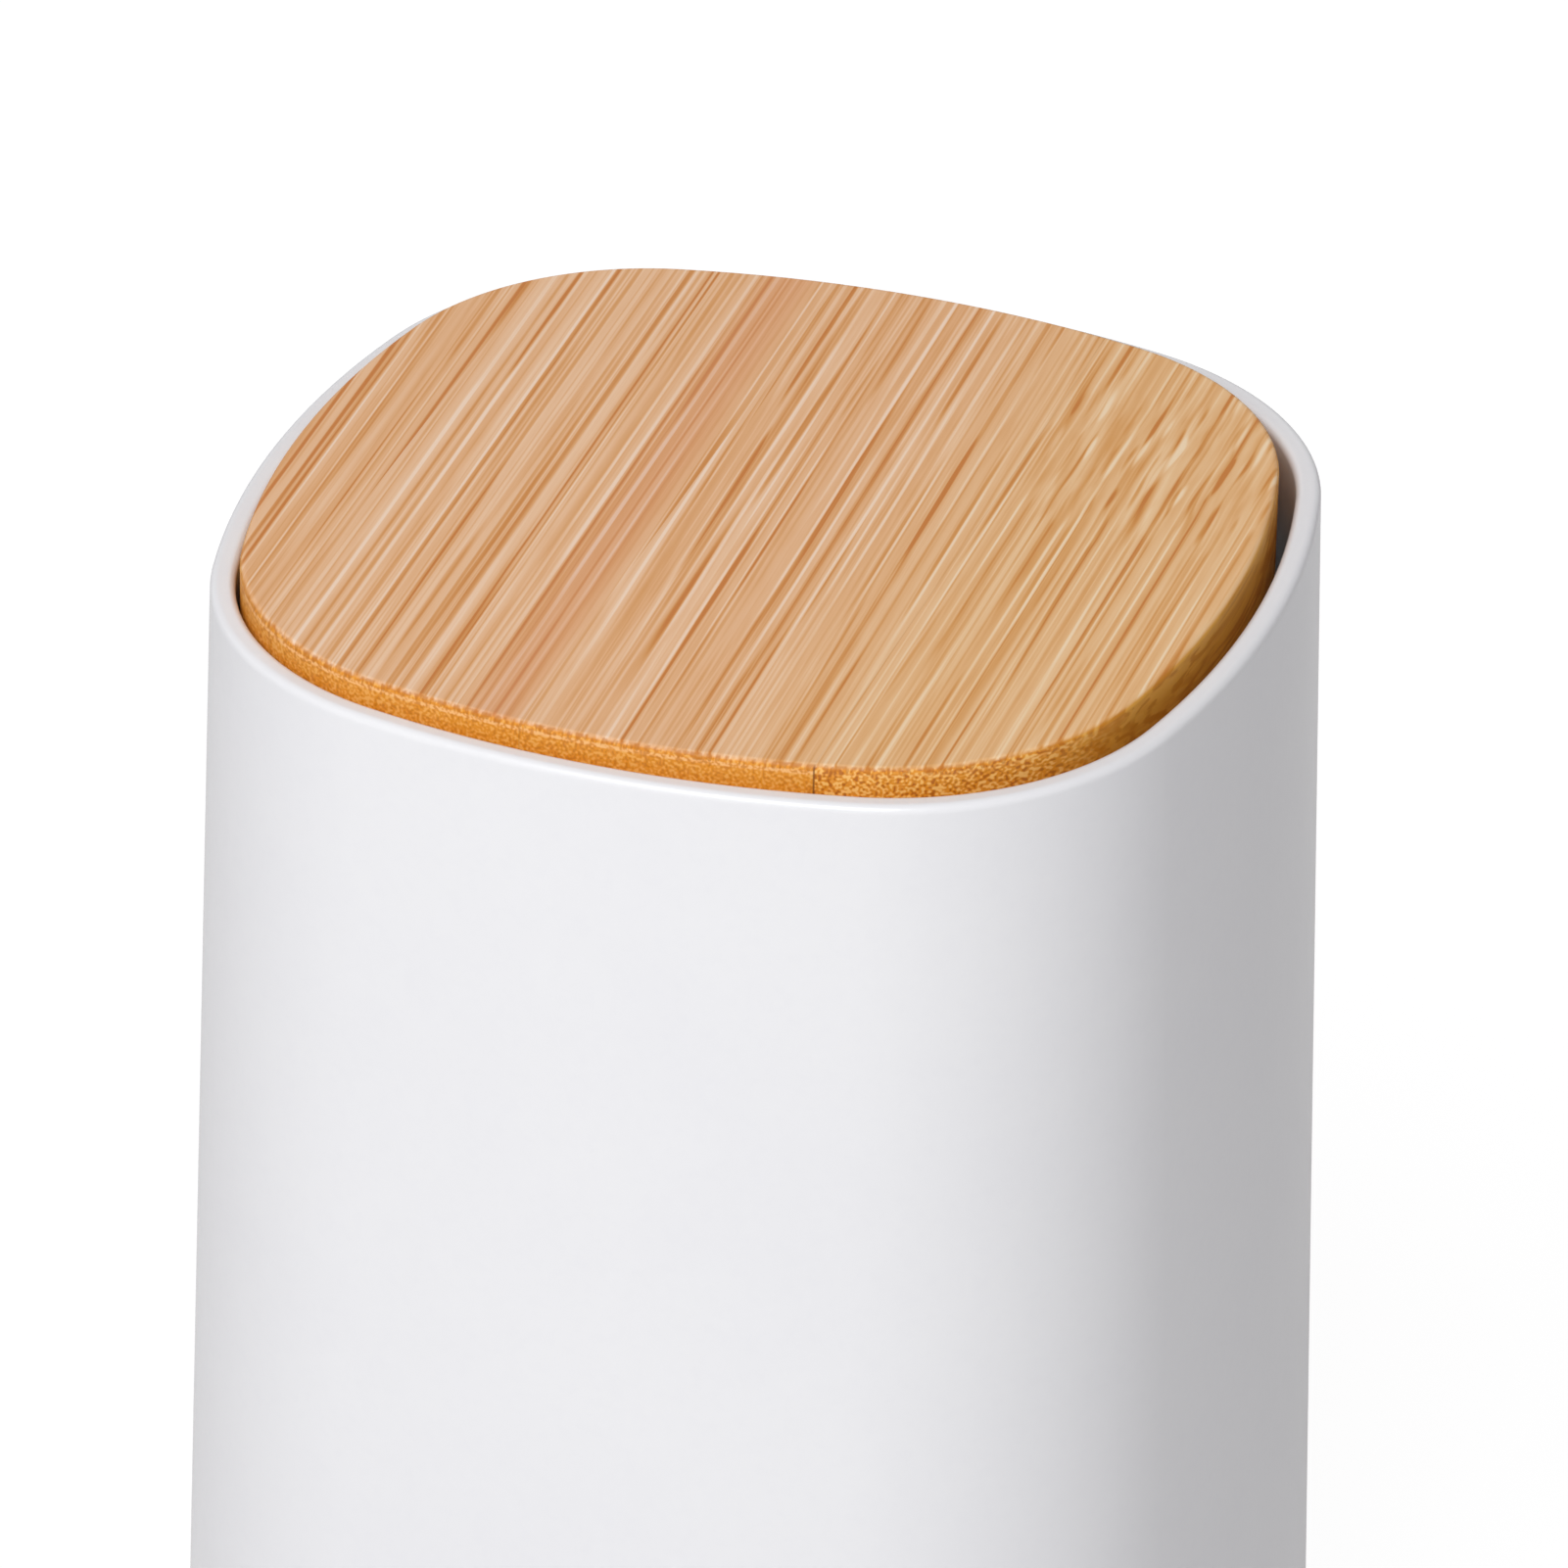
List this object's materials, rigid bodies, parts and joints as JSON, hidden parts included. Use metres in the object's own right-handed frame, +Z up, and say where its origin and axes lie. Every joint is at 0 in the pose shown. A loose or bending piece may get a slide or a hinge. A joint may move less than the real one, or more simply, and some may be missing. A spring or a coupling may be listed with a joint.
{
  "type": "toothpick dispenser",
  "caption": "Pop-up toothpick dispenser: a tapered squircle shell with a bamboo press lid on a sprung, latching carriage that lifts a tray of toothpicks.",
  "frame": {"origin": "middle of the foot pad's underside, where the dispenser stands on the table", "axes": "+Z up along the lid's travel; -Y is the front; the lid's grain runs along Y"},
  "size_m": [0.0626, 0.0626, 0.097],
  "materials": {
    "white_shell": "satin, moulded",
    "white_inner": "fine matt, moulded",
    "natural_acetal": "matt, moulded",
    "grey_acetal": "matt, moulded",
    "bamboo": "sanded and oiled, laminated strips",
    "bond_foam": "double-sided foam tape",
    "foot_rubber": "matt",
    "bumper_rubber": "matt",
    "spring_steel": "drawn wire",
    "screw_steel": "zinc plated"
  },
  "bodies": {
    "housing": {"outer_shell": "white_shell", "base_plate": "white_inner", "foot_pad": "foot_rubber", "base_screws": "screw_steel", "guide_tower": "natural_acetal", "tower_screws": "screw_steel", "latch_wire": "spring_steel", "wire_clamp": "grey_acetal", "clamp_screws": "screw_steel", "stop_bumper": "bumper_rubber", "guide_collar": "grey_acetal", "collar_clip": "spring_steel", "lift_spring": "spring_steel"},
    "carriage": {"bamboo_lid": "bamboo", "bond_pad": "bond_foam", "lid_carrier": "white_inner", "carrier_screws": "screw_steel", "centre_column": "white_inner", "push_rod": "grey_acetal", "cam_bush": "natural_acetal", "pick_tray": "white_inner", "tray_screws": "screw_steel"}
  },
  "joints": [
    {"name": "lid_lift", "type": "slide", "parent": "housing", "child": "carriage", "axis": [0, 0, 1], "range_m": [-0.0025, 0.028], "deforming": ["lift_spring", "latch_wire"]}
  ]
}
